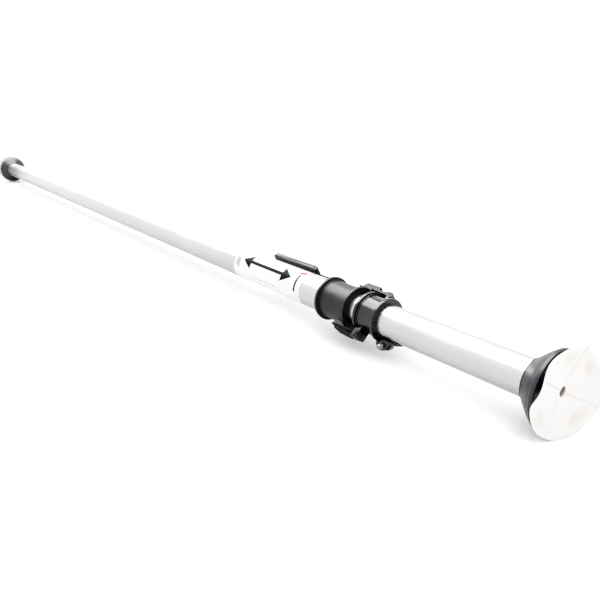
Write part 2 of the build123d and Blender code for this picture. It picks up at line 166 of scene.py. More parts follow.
def rounded(points, radius, closed=True, steps=4):
    """An outline whose corners are arcs, each tangent to both of its legs."""
    corner = np.asarray(points, float)
    back = np.roll(corner, 1, 0) - corner
    ahead = np.roll(corner, -1, 0) - corner
    back_length = np.linalg.norm(back, axis=1)
    ahead_length = np.linalg.norm(ahead, axis=1)
    back = back / back_length[:, None]
    ahead = ahead / ahead_length[:, None]
    half = np.arccos(np.clip((back * ahead).sum(1), -0.99999, 0.99999)) / 2
    cut = np.minimum(np.broadcast_to(radius, half.shape) / np.tan(half),
                     0.48 * np.minimum(back_length, ahead_length))
    middle = back + ahead
    middle /= np.linalg.norm(middle, axis=1)[:, None]
    centre = corner + middle * (cut / np.cos(half))[:, None]
    first = corner + back * cut[:, None] - centre
    last = corner + ahead * cut[:, None] - centre
    sweep = (np.pi - 2 * half)[:, None, None]
    t = np.linspace(0, 1, steps + 1)[None, :, None]
    arc = (first[:, None] * np.sin((1 - t) * sweep) + last[:, None] * np.sin(t * sweep)) / np.sin(sweep)
    arc = arc + centre[:, None]
    if closed:
        return arc.reshape(-1, 2)
    return np.vstack([corner[:1], arc[1:-1].reshape(-1, 2), corner[-1:]])


def bearings_around(count, dense=(), spread=()):
    """Evenly spaced bearings for a full turn, with extra ones close to each of a few bearings."""
    even = np.linspace(-180, 180, count, endpoint=False)
    extra = (np.asarray(dense, float)[:, None] + np.asarray(spread, float)[None, :]).ravel()
    wrapped = (np.concatenate([even, extra]) + 180) % 360 - 180
    return np.unique(np.round(wrapped, 4))


def lathe(outline, bearings, ring=True, warp=None):
    """A closed outline of station and reach, carried round the pole's axis through the bearings."""
    turn = np.asarray(bearings, float)[:, None]
    station, reach = (np.broadcast_to(part, (len(turn), len(outline))) for part in np.asarray(outline).T)
    if warp is not None:
        station, reach = warp(station, reach, turn)
    return tube_of(place(station, 0.0, reach, turn), ring)


def plate(outline, side_from, side_to, edge, bearing, steps=3):
    """An outline of station and reach with thickness across a bearing, its edges rounded off.

    Each layer of the thickness is the outline drawn in along its own normal by a quarter circle.
    """
    ahead = np.roll(outline, -1, 0) - np.roll(outline, 1, 0)
    normal = np.stack([ahead[:, 1], -ahead[:, 0]], 1)
    normal /= np.linalg.norm(normal, axis=1)[:, None] + 1e-12
    area = (outline[:, 0] * np.roll(outline[:, 1], -1) - np.roll(outline[:, 0], -1) * outline[:, 1]).sum()
    normal *= np.sign(area)
    angle = np.linspace(0, np.pi / 2, steps + 1)
    draw_in = edge * (1 - np.sin(angle))
    rise = edge * (1 - np.cos(angle))
    draw_in = np.concatenate([draw_in, draw_in[::-1]])
    side = np.concatenate([side_from + rise, side_to - rise[::-1]])
    layer = outline[None] - normal[None] * draw_in[:, None, None]
    return tube_of(place(layer[..., 0], side[:, None], layer[..., 1], bearing))


def plate_pair(outline, inner, outer, edge, bearing):
    """The same plate on both sides of a bearing, with a gap between the two."""
    return [plate(outline, inner, outer, edge, bearing), plate(outline, -outer, -inner, edge, bearing)]


def strip(path, section, bearing):
    """A closed section of side and height, carried along an open path of station and reach.

    The height is measured along the path's normal, and the side across the bearing.
    """
    ahead = np.gradient(path, axis=0)
    ahead /= np.linalg.norm(ahead, axis=1)[:, None]
    normal = np.stack([-ahead[:, 1], ahead[:, 0]], 1)
    spot = path[:, None] + normal[:, None] * section[None, :, 1:2]
    return tube_of(place(spot[..., 0], section[None, :, 0], spot[..., 1], bearing))


def turned_on(axis_place, across, along, profile, count=32, corners=0):
    """A profile of distance along and radius turned about any axis through axis_place.

    With corners, the radius follows a polygon of that many sides; the profile's third column
    says how far, from 0 round to 1 flat-sided.
    """
    angle = np.linspace(0, 2 * np.pi, count, endpoint=False)[None, :]
    profile = np.asarray(profile, float)
    distance = profile[:, 0][:, None]
    radius = profile[:, 1][:, None] * np.ones_like(angle)
    if corners:
        wedge = np.pi / corners
        flat = np.cos(wedge) / np.cos((angle + wedge) % (2 * wedge) - wedge)
        radius = radius * (1 + profile[:, 2][:, None] * (flat - 1))
    along = np.asarray(along, float)
    across = np.asarray(across, float)
    third = np.cross(along, across)
    grid = (np.asarray(axis_place)[None, None] + along * distance[..., None] / 1000
            + across * (radius * np.cos(angle))[..., None] / 1000
            + third * (radius * np.sin(angle))[..., None] / 1000)
    return tube_of(grid)


def piece(name, shells, material, body, replaces=(), sharp=38.0):
    """One finished object from its shells: smooth, with its place in its mesh, riding on a body."""
    points, faces, start = [], [], 0
    for shell_points, shell_faces in shells:
        points.append(shell_points)
        faces += [[index + start for index in face] for face in shell_faces]
        start += len(shell_points)
    mesh = bpy.data.meshes.new(name)
    mesh.from_pydata(np.concatenate(points).tolist(), [], faces)
    mesh.shade_smooth()
    mesh.set_sharp_from_angle(angle=np.radians(sharp))
    mesh.materials.append(material)
    made = bpy.data.objects.new(name, mesh)
    bpy.context.scene.collection.objects.link(made)
    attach(made, body)
    if replaces:
        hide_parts(*replaces)
    return made


def at_base(shell):
    """A foot's shell turned end for end about the vertical, to the base of the pole."""
    points, faces = shell
    return points * np.array([-1.0, -1.0, 1.0]), faces


# ---- Materials ----
class Surface:
    """A node material with one principled shader and patterns read from Object coordinates."""

    def __init__(self, name, colour, roughness, metallic=0.0, **constants):
        self.material = bpy.data.materials.new(name)
        self.material.use_nodes = True
        self.tree = self.material.node_tree
        self.shader = self.tree.nodes["Principled BSDF"]
        self.shader.inputs["Base Color"].default_value = (*colour, 1)
        self.shader.inputs["Roughness"].default_value = roughness
        self.shader.inputs["Metallic"].default_value = metallic
        for socket, value in constants.items():
            self.shader.inputs[socket.replace("_", " ")].default_value = value
        self.coordinates = self.add("ShaderNodeTexCoord").outputs["Object"]
        self.bumped = None

    def add(self, kind, **values):
        node = self.tree.nodes.new(kind)
        for name, value in values.items():
            setattr(node, name, value)
        return node

    def link(self, source, target):
        self.tree.links.new(source, target)

    def noise(self, scale, detail, stretch=(1, 1, 1)):
        """Noise whose size is 1 / scale metres, drawn out along the axes where stretch is small."""
        mapping = self.add("ShaderNodeMapping")
        mapping.inputs["Scale"].default_value = stretch
        texture = self.add("ShaderNodeTexNoise")
        texture.inputs["Scale"].default_value = scale
        texture.inputs["Detail"].default_value = detail
        texture.inputs["Roughness"].default_value = 0.55
        self.link(self.coordinates, mapping.inputs["Vector"])
        self.link(mapping.outputs["Vector"], texture.inputs["Vector"])
        return texture.outputs["Fac"]

    def ramp(self, source, from_low, from_high, to_low, to_high):
        node = self.add("ShaderNodeMapRange")
        names = ("From Min", "From Max", "To Min", "To Max")
        for name, value in zip(names, (from_low, from_high, to_low, to_high)):
            node.inputs[name].default_value = value
        self.link(source, node.inputs["Value"])
        return node.outputs["Result"]

    def maths(self, operation, *inputs):
        node = self.add("ShaderNodeMath", operation=operation)
        for socket, value in zip(node.inputs, inputs):
            if isinstance(value, (int, float)):
                socket.default_value = value
            else:
                self.link(value, socket)
        return node.outputs[0]

    def spokes(self, count):
        """A ripple that runs round the pole's axis, with count crests to the turn."""
        split = self.add("ShaderNodeSeparateXYZ")
        self.link(self.coordinates, split.inputs[0])
        height = self.maths("SUBTRACT", split.outputs["Z"], AXIS_Z)
        angle = self.maths("ARCTAN2", split.outputs["Y"], height)
        return self.maths("SINE", self.maths("MULTIPLY", angle, float(count)))

    def tint(self, factor, first, second):
        mix = self.add("ShaderNodeMix", data_type="RGBA")
        mix.inputs["A"].default_value = (*first, 1)
        mix.inputs["B"].default_value = (*second, 1)
        self.link(factor, mix.inputs["Factor"])
        self.link(mix.outputs["Result"], self.shader.inputs["Base Color"])

    def roughen(self, factor, low, high):
        self.link(self.ramp(factor, 0.3, 0.7, low, high), self.shader.inputs["Roughness"])

    def clouded(self, cloud, first, second, glossy, dull, from_low=0.4, from_high=0.7):
        """A tint and a roughness that both follow one slow noise."""
        self.tint(self.ramp(cloud, from_low, from_high, 0, 1), first, second)
        self.roughen(cloud, glossy, dull)

    def bump(self, height, strength, distance):
        """Relief of that height in metres, laid over any relief already there."""
        node = self.add("ShaderNodeBump")
        node.inputs["Strength"].default_value = strength
        node.inputs["Distance"].default_value = distance
        self.link(height, node.inputs["Height"])
        if self.bumped is not None:
            self.link(self.bumped, node.inputs["Normal"])
        self.bumped = node.outputs["Normal"]
        self.link(self.bumped, self.shader.inputs["Normal"])


FINISHES = {}
MILKY = {"Subsurface_Scale": 0.002, "Subsurface_Radius": (1.0, 0.9, 0.8)}


def finish(maker):
    """The material that a maker function gives, made once."""
    if maker.__name__ not in FINISHES:
        FINISHES[maker.__name__] = maker().material
    return FINISHES[maker.__name__]


def anodised_tube():
    """Satin anodised aluminium: long faint draw lines, soft streaks and a few rubbed patches."""
    look = bpy.context.scene.pole_tubes
    surface = Surface("anodised_tube", look.tint, look.roughness, 1.0)
    draw_lines = surface.noise(420, 4, (0.006, 1, 1))
    streaks = surface.noise(60, 3, (0.02, 1, 1))
    rubbed = surface.noise(9, 4)
    shade = surface.maths("MULTIPLY_ADD", streaks, 0.6, surface.maths("MULTIPLY", rubbed, 0.4))
    dark = tuple(part * 0.86 for part in look.tint)
    surface.clouded(shade, dark, look.tint, look.roughness - 0.07, look.roughness + 0.08, 0.35, 0.65)
    surface.bump(draw_lines, 0.25, 0.00004)
    return surface


def moulded_black():
    """Glass-filled black nylon with a fine moulded grain and slightly uneven gloss."""
    look = bpy.context.scene.pole_collars
    surface = Surface("moulded_black", look.tint, look.roughness, Specular_IOR_Level=0.5)
    grain = surface.noise(1500, 2)
    cloud = surface.noise(40, 3)
    lighter = tuple(part * 1.6 + 0.002 for part in look.tint)
    surface.clouded(cloud, look.tint, lighter, look.roughness - 0.04, look.roughness + 0.08)
    surface.bump(grain, 0.3, 0.00006)
    return surface


def glossy_black():
    """Polished black nylon, which shows the edges of the lights."""
    surface = Surface("glossy_black", (0.006, 0.006, 0.007), 0.12, Specular_IOR_Level=0.75)
    cloud = surface.noise(35, 3)
    surface.clouded(cloud, (0.004, 0.004, 0.005), (0.009, 0.009, 0.010), 0.10, 0.17)
    surface.bump(surface.noise(500, 2), 0.08, 0.00004)
    return surface


def grip_grey():
    """Charcoal nylon with a matt moulded grain."""
    surface = Surface("grip_grey", (0.045, 0.045, 0.048), 0.45)
    cloud = surface.noise(60, 3, (0.3, 1, 1))
    surface.clouded(cloud, (0.038, 0.038, 0.041), (0.058, 0.058, 0.062), 0.4, 0.52)
    surface.bump(surface.noise(1400, 2), 0.4, 0.00008)
    return surface


def cup_rubber():
    """Black rubber with faint moulding lines that run out from the tube to the rim."""
    look = bpy.context.scene.pole_feet
    surface = Surface("cup_rubber", look.cup_tint, 0.35, Specular_IOR_Level=0.75)
    lines = surface.spokes(120)
    cloud = surface.noise(55, 4)
    lighter = tuple(part * 1.6 + 0.003 for part in look.cup_tint)
    surface.clouded(cloud, look.cup_tint, lighter, 0.30, 0.40, 0.35, 0.7)
    surface.bump(lines, 0.10, 0.0001)
    surface.bump(surface.noise(900, 2), 0.2, 0.00008)
    return surface


def pad_rubber():
    """Soft off-white rubber, with a tan painted shade laid into its dimples."""
    look = bpy.context.scene.pole_feet
    surface = Surface("pad_rubber", look.pad_tint, 0.42, Subsurface_Weight=0.08, **MILKY)
    dimple_shade_mask = surface.add("ShaderNodeAttribute", attribute_name="painted_dimple_shade").outputs["Fac"]
    cloud = surface.noise(60, 4)
    # painted shade: a tan tint that follows how deep each point lies in a dimple, broken up by a slow noise
    painted_dimple_shade = surface.maths("MULTIPLY", dimple_shade_mask, surface.ramp(cloud, 0.35, 0.6, 0.35, 1.0))
    tan = tuple(part * factor for part, factor in zip(look.pad_tint, (0.93, 0.86, 0.78)))
    surface.tint(painted_dimple_shade, look.pad_tint, tan)
    surface.roughen(cloud, 0.36, 0.5)
    surface.bump(surface.noise(320, 3), 0.15, 0.0002)
    return surface


def powder_coat():
    """Black powder-coated sheet steel with a faint orange-peel texture."""
    surface = Surface("powder_coat", (0.010, 0.010, 0.011), 0.4, Specular_IOR_Level=0.4)
    peel = surface.noise(700, 2)
    cloud = surface.noise(60, 3)
    surface.clouded(cloud, (0.008, 0.008, 0.009), (0.016, 0.016, 0.018), 0.34, 0.46)
    surface.bump(peel, 0.35, 0.0001)
    return surface


def zinc_plate():
    """Bright zinc-plated steel, a little dulled in patches."""
    surface = Surface("zinc_plate", (0.66, 0.66, 0.65), 0.28, 1.0)
    cloud = surface.noise(180, 3)
    surface.clouded(cloud, (0.12, 0.12, 0.12), (0.38, 0.38, 0.37), 0.2, 0.38, 0.35, 0.7)
    surface.bump(surface.noise(1600, 2), 0.1, 0.00003)
    return surface


def dull_brass():
    """Dull tan brass with turning marks."""
    surface = Surface("dull_brass", (0.60, 0.52, 0.42), 0.4, 0.5)
    cloud = surface.noise(220, 3)
    surface.clouded(cloud, (0.46, 0.40, 0.32), (0.62, 0.56, 0.48), 0.32, 0.5, 0.35, 0.7)
    surface.bump(surface.noise(900, 2, (1, 0.1, 0.1)), 0.2, 0.00005)
    return surface


def natural_nylon():
    """Milky natural nylon."""
    surface = Surface("natural_nylon", (0.40, 0.39, 0.36), 0.4, Subsurface_Weight=0.1, **MILKY)
    cloud = surface.noise(150, 3)
    surface.tint(cloud, (0.35, 0.34, 0.31), (0.43, 0.42, 0.39))
    surface.roughen(cloud, 0.34, 0.48)
    surface.bump(surface.noise(1200, 2), 0.15, 0.00005)
    return surface


def sticker_vinyl():
    """White vinyl with a satin film over it."""
    look = bpy.context.scene.pole_label
    surface = Surface("sticker_vinyl", look.paper, 0.35, Coat_Weight=0.35, Coat_Roughness=0.18)
    cloud = surface.noise(70, 3)
    grey = tuple(part * 0.965 for part in look.paper)
    surface.clouded(cloud, look.paper, grey, 0.3, 0.42)
    surface.bump(surface.noise(260, 2), 0.1, 0.00006)
    return surface


def ink(name, colour):
    """Printing ink with small unevenness in its cover."""
    surface = Surface(name, colour, 0.5, Specular_IOR_Level=0.08)
    cover = surface.noise(1300, 3)
    thin = tuple(part + 0.03 for part in colour)
    surface.clouded(cover, colour, thin, 0.32, 0.44, 0.5, 0.75)
    return surface


def black_ink():
    """The sticker's black print."""
    return ink("black_ink", (0.012, 0.012, 0.014))


def grey_ink():
    """The sticker's small grey print."""
    return ink("grey_ink", (0.17, 0.17, 0.18))


def red_ink():
    """The sticker's one red mark."""
    return ink("red_ink", (0.60, 0.045, 0.055))


# ---- Settings ----
def colour(name, description, value):
    return FloatVectorProperty(name=name, description=description, default=value, size=3, subtype="COLOR",
                               min=0, max=1)


def length(name, description, value):
    return FloatProperty(name=name, description=description, default=value, unit="LENGTH", min=0)


def share(name, description, value):
    return FloatProperty(name=name, description=description, default=value, subtype="FACTOR", min=0, max=1)


class PoleTubes(PropertyGroup):
    """Sizes and finish of the two tubes."""
    wall: length("Wall", "Thickness of both tubes' walls", 0.0015)
    tint: colour("Tint", "Colour of the anodised aluminium", (0.50, 0.50, 0.497))
    roughness: share("Roughness", "How satin the tubes are", 0.27)


class PoleCollars(PropertyGroup):
    """Sizes and finish of the two collars and the moulded levers."""
    edge: length("Edge", "Radius of the rounded edges", 0.0007)
    tint: colour("Tint", "Colour of the moulded nylon", (0.010, 0.010, 0.011))
    roughness: share("Roughness", "How satin the nylon is", 0.36)
    rib_count: IntProperty(name="Ribs", description="Cross ribs on the clamp lever", default=7, min=0, max=12)


class PoleFeet(PropertyGroup):
    """Sizes and finish of the two feet."""
    rim_radius: length("Rim radius", "Radius of the rubber cup's shoulder", 0.0412)
    pad_radius: length("Pad radius", "Radius of the white pad", 0.0455)
    pad_thickness: length("Pad thickness", "Thickness of the white pad at its edge", 0.0016)
    wave: share("Wave", "How much the pad's edge waves, as a share of the full wave", 1.0)
    cup_tint: colour("Cup colour", "Colour of the rubber cups", (0.009, 0.011, 0.015))
    pad_tint: colour("Pad colour", "Colour of the pads", (0.625, 0.620, 0.612))


class PoleLabel(PropertyGroup):
    """Colour and corners of the sticker on the outer tube."""
    corner: length("Corner", "Radius of the sticker's corners", 0.009)
    paper: colour("Paper", "Colour of the sticker", (0.63, 0.63, 0.627))


class PoleStage(PropertyGroup):
    """Floor, lights and camera."""
    floor_tone: colour("Floor", "Colour of the floor", (0.98, 0.98, 0.98))
    lens: FloatProperty(name="Lens", description="Focal length of the camera, in millimetres",
                        default=34.38, min=10)
    gleam: FloatProperty(name="Gleam", description="Power of the overhead light seen in gloss",
                         default=150.0, min=0, unit="POWER")
    key: FloatProperty(name="Key light", description="Power of the overhead light on matt surfaces",
                       default=4.0, min=0, unit="POWER")
    sky: FloatProperty(name="Sky", description="Brightness of the white room", default=1.52, min=0)


# ---- Pieces ----
class POLE_OT_tubes(Operator):
    """Make the outer and the inner tube, each a turned wall with chamfered ends"""
    bl_idname = "pole.tubes"
    bl_label = "Tubes"

    def execute(self, context):
        wall = context.scene.pole_tubes.wall * 1000
        metal = finish(anodised_tube)
        for node, body in (("outer_tube", "base_section"), ("inner_tube", "inner_section")):
            start, end = stations(node)
            reach = round_reach(node)
            corners = [(start, reach - wall), (start, reach), (end, reach), (end, reach - wall)]
            outline = rounded(corners, 0.35)
            shell = lathe(outline, bearings_around(144))
            piece(node + "_wall", [shell], metal, body, [node])
        return {"FINISHED"}


def collar_outline(front, back, body, front_flange, back_flange, edge):
    """Flange, waist and flange: every corner eased, with a fillet where the waist meets a flange."""
    flange, bore = 4.0, COLLAR_BORE
    return rounded([
        (front, bore), (front, front_flange), (front + flange, front_flange), (front + flange, body),
        (back - flange, body), (back - flange, back_flange), (back, back_flange), (back, bore),
    ], np.array([0.3, edge, edge, 1.1, 1.1, edge, edge, 0.3]), steps=5)


def ear_outline(station, reach, radius, foot):
    """A pivot ear: a half circle about the pin on a stem that reaches down into the collar."""
    angle = np.linspace(0, np.pi, 17)
    head = np.stack([station + radius * np.cos(angle), reach + radius * np.sin(angle)], 1)
    stem = np.array([[station - radius - 1.2, foot], [station + radius + 1.2, foot]])
    return np.vstack([head, stem])


def ear_pair(station, reach, radius, foot, inner, bearing, thick=2.5):
    """Two pivot ears with a gap between them."""
    return plate_pair(ear_outline(station, reach, radius, foot), inner, inner + thick, 0.4, bearing)


class POLE_OT_fixed_collar(Operator):
    """Make the collar at the mouth of the outer tube, with its notch and ears for the link"""
    bl_idname = "pole.fixed_collar"
    bl_label = "Fixed collar"

    def execute(self, context):
        edge = context.scene.pole_collars.edge * 1000
        half_notch, flange_reach, notch_floor, steepness = 6.0, 28.0, 25.2, 6

        def flange_notch(station, reach, turn):
            """Within the notch the front flange is no higher than the waist: a smooth step of the side."""
            side = np.radians(turn - LEVER_BEARING) * flange_reach
            depth = 1 / (1 + np.exp((np.abs(side) - half_notch) * steepness))
            low = np.minimum(reach, notch_floor)
            front = station < FIXED_FRONT + 8
            return station, np.where(front, reach + (low - reach) * depth, reach)

        outline = collar_outline(FIXED_FRONT, FIXED_BACK, 25.0, 28.5, 29.0, edge)
        turns = bearings_around(120, [LEVER_BEARING], np.linspace(-16, 16, 33))
        shells = [lathe(outline, turns, warp=flange_notch)]
        shells += ear_pair(CRANK_STATION + LINK_LENGTH, 28.5, 3.2, 23.4, 8.0, LEVER_BEARING)
        nylon = finish(moulded_black)
        piece("fixed_collar_body", shells, nylon, "base_section", ["fixed_collar"])
        return {"FINISHED"}


class POLE_OT_clamp_collar(Operator):
    """Make the split clamp collar, with its lugs and its pivot ears"""
    bl_idname = "pole.clamp_collar"
    bl_label = "Clamp collar"

    def execute(self, context):
        edge = context.scene.pole_collars.edge * 1000
        gap = 1.5
        half_gap = np.degrees(gap / 24.0)
        turns = np.linspace(LUG_BEARING + half_gap, LUG_BEARING + 360 - half_gap, 145)
        outline = collar_outline(CLAMP_FRONT, CLAMP_BACK, 23.5, 27.0, 27.0, edge)
        shells = [lathe(outline, turns, ring=False)]
        shells += ear_pair(PIVOT_STATION, PIVOT_REACH, 3.3, 21.5, 7.8, LEVER_BEARING)
        knuckle = rounded([
            (CAM_STATION - 4.8, 21.5), (CAM_STATION - 4.6, CAM_REACH + 4.4),
            (CAM_STATION + 4.4, CAM_REACH + 4.4), (CAM_STATION + 4.6, 21.5),
        ], np.array([0.3, 1.8, 1.8, 0.3]), steps=5)
        shells += plate_pair(knuckle, 6.3, 8.8, 0.5, CLAMP_BEARING)
        lug = rounded([
            (190.0, 20.9), (190.0, 22.8), (PINCH_STATION - 7.5, 26.0), (PINCH_STATION - 5.4, 30.0),
            (PINCH_STATION - 3.6, 34.7), (PINCH_STATION + 3.6, 34.7), (222.0, 30.4), (222.0, 21.5),
        ], np.array([0.4, 0.9, 2.5, 3.0, 3.4, 3.4, 1.5, 0.3]), steps=5)
        shells += plate_pair(lug, gap, gap + 5.0, 0.6, LUG_BEARING)
        nylon = finish(glossy_black)
        piece("clamp_collar_body", shells, nylon, "clamp_ring", ["clamp_collar"])
        return {"FINISHED"}


class POLE_OT_tension_lever(Operator):
    """Make the tension lever: a channel of bent sheet steel, its strap, and the moulded grip"""
    bl_idname = "pole.tension_lever"
    bl_label = "Tension lever"

    def execute(self, context):
        half, sheet_middle = 7.5, CHANNEL_TOP - SHEET / 2
        path = rounded([
            (258.6, sheet_middle), (CHANNEL_END - 0.3, sheet_middle), (CHANNEL_END + 2.6, STRAP_REACH),
            (CHANNEL_END + 8, STRAP_REACH),
        ], 2.0, closed=False, steps=6)
        low, high = -SHEET / 2, SHEET / 2
        wide = rounded([(-half, low), (half, low), (half, high), (-half, high)], 0.35, steps=2)
        strap_share, strap_side = 7.0 / 15.0, 4.0
        narrow = wide * np.array([strap_share, 1.0]) + np.array([strap_side, 0.0])
        run = np.stack([np.linspace(CHANNEL_END + 4, GRIP_START + 9, 40), np.full(40, STRAP_REACH)], 1)
        cheek = rounded([
            (PIVOT_STATION - 3.3, PIVOT_REACH - 3.2), (PIVOT_STATION - 3.3, PIVOT_REACH + 2.6),
            (CRANK_STATION - 2.4, CRANK_REACH + 2.3), (CRANK_STATION + 3.0, CRANK_REACH + 2.0), (251.0, 33.2),
            (258.0, 33.6), (259.6, CHANNEL_TOP), (CHANNEL_END, CHANNEL_TOP), (CHANNEL_END + 3, STRAP_REACH),
            (259.0, STRAP_REACH), (244.0, 29.4), (PIVOT_STATION + 3.6, PIVOT_REACH - 3.2),
        ], np.array([3.0, 3.0, 2.2, 2.2, 3.0, 0.8, 1.2, 1.6, 0.5, 4.0, 4.0, 3.0]), steps=6)
        socket = rounded([
            (GRIP_START + 5.4, 28.4), (GRIP_START + 5.4, 33.0), (GRIP_START + 8.6, 35.4),
            (GRIP_START + 11, 35.4), (GRIP_START + 11, 27.8), (GRIP_START + 6.4, 27.6),
        ], np.array([1.0, 1.2, 0.8, 0.4, 0.4, 0.8]), steps=5)
        steel = [strip(path, wide, LEVER_BEARING), strip(run, narrow, LEVER_BEARING)]
        steel += plate_pair(cheek, half - SHEET, half, 0.3, LEVER_BEARING)
        steel.append(plate(socket, -8.4, 8.4, 0.9, LEVER_BEARING))
        coat = finish(powder_coat)
        piece("tension_arm_steel", steel, coat, "tension_lever", ["tension_arm"])

        grip = rounded([
            (GRIP_START + 11.6, 27.5), (GRIP_START + 11.6, 36.0), (GRIP_END - 1.2, 35.6),
            (GRIP_END, 28.0), (GRIP_END - 0.6, 27.5),
        ], np.array([0.6, 1.0, 1.6, 0.8, 0.8]), steps=6)
        core = rounded([
            (GRIP_START + 9, 28.4), (GRIP_START + 9, 34.6), (GRIP_START + 14, 34.6), (GRIP_START + 14, 28.4),
        ], 0.3)
        shells = [plate(grip, -8.5, 8.5, 1.8, LEVER_BEARING, steps=5)]
        shells.append(plate(core, -7.4, 7.4, 0.3, LEVER_BEARING))
        nylon = finish(grip_grey)
        piece("tension_grip_body", shells, nylon, "tension_lever", ["tension_grip"])
        return {"FINISHED"}


class POLE_OT_clamp_lever(Operator):
    """Make the clamp lever: a round cam and a ribbed thumb plate with a hollow underside"""
    bl_idname = "pole.clamp_lever"
    bl_label = "Clamp lever"

    def execute(self, context):
        ribs = context.scene.pole_collars.rib_count
        rib_step, rib_wide, rib_top, rib_fall = 3.6, 1.4, 36.8, 0.09
        cam = rounded([
            (CAM_STATION - 5.4, CAM_REACH - 5.6), (CAM_STATION - 5.4, CAM_REACH + 5.2),
            (CAM_STATION + 8.5, CAM_REACH + 5.6), (CAM_STATION + 8.5, CAM_REACH - 1.2),
            (CAM_STATION + 5.2, CAM_REACH - 5.6),
        ], np.array([4.4, 5.0, 0.6, 0.6, 3.6]), steps=6)
        tip = CLAMP_LEVER_END
        thumb = rounded([
            (CAM_STATION + 7.6, 29.3), (CAM_STATION + 7.6, 35.2), (CAM_STATION + 12, 35.8),
            (tip - 9, 35.0), (tip, 32.2), (tip, 30.4),
            (tip - 2.5, 30.4), (tip - 7, 32.4), (CAM_STATION + 13, 32.8), (CAM_STATION + 11, 29.3),
        ], np.array([0.6, 1.5, 2.5, 5, 1.2, 0.8, 0.8, 2.0, 2.0, 0.8]), steps=5)
        wall = rounded([
            (CAM_STATION + 8.0, 29.3), (CAM_STATION + 8.0, 35.0), (tip - 9, 34.4), (tip - 1.2, 31.6),
            (tip - 4.0, 25.6), (CAM_STATION + 27.7, 25.6), (CAM_STATION + 27.6, 29.2),
        ], np.array([0.6, 0.6, 3.0, 1.2, 1.6, 0.8, 0.5]), steps=4)
        shells = [plate(cam, -6.0, 6.0, 0.5, CLAMP_BEARING), plate(thumb, -7.5, 7.5, 0.8, CLAMP_BEARING)]
        shells += plate_pair(wall, 5.6, 7.5, 0.4, CLAMP_BEARING)
        for rib in range(ribs):
            station = CAM_STATION + 12.0 + rib * rib_step
            top = rib_top - rib * rib_fall
            hoop = rounded([
                (station, 29.6), (station, top), (station + rib_wide, top), (station + rib_wide, 29.6),
            ], 0.45, steps=3)
            shells.append(plate(hoop, -8.3, 8.3, 0.45, CLAMP_BEARING))
        nylon = finish(moulded_black)
        piece("clamp_lever_body", shells, nylon, "clamp_handle", ["clamp_lever"])
        return {"FINISHED"}


GROOVE_BEARINGS = (-60.0, 30.0, 120.0, -150.0)
DIMPLES = ((4.0, 33.0), (62.0, 35.0), (150.0, 34.0), (-122.0, 36.0))      # bearing and reach
PAD_EDGE = np.array([                 # bearing, and how far the edge bends towards the base there
    (-180, -7.5), (-165, -4.5), (-150, 0.0), (-135, 2.5), (-120, 3.5), (-108, 4.3), (-98, 4.8),
    (-90, 4.0), (-82, 1.0), (-74, -1.0), (-64, -1.3), (-54, 0.3), (-42, 1.8), (-30, 1.5), (-18, -0.6),
    (-4, -2.5), (12, -3.0), (28, -3.2), (42, -4.2), (55, -7.0), (70, -8.5), (88, -10.5), (104, -14.0),
    (116, -16.0), (128, -15.0), (142, -12.5), (156, -10.0), (170, -9.0),
])


def apart(turn, bearing):
    """The angle between two bearings, in radians, the short way round."""
    return np.radians((turn - bearing + 180) % 360 - 180)


def spoke(reach, turn, bearing):
    """How far points lie across a spoke at a bearing, and how far along it."""
    return reach * np.sin(apart(turn, bearing)), reach * np.cos(apart(turn, bearing))


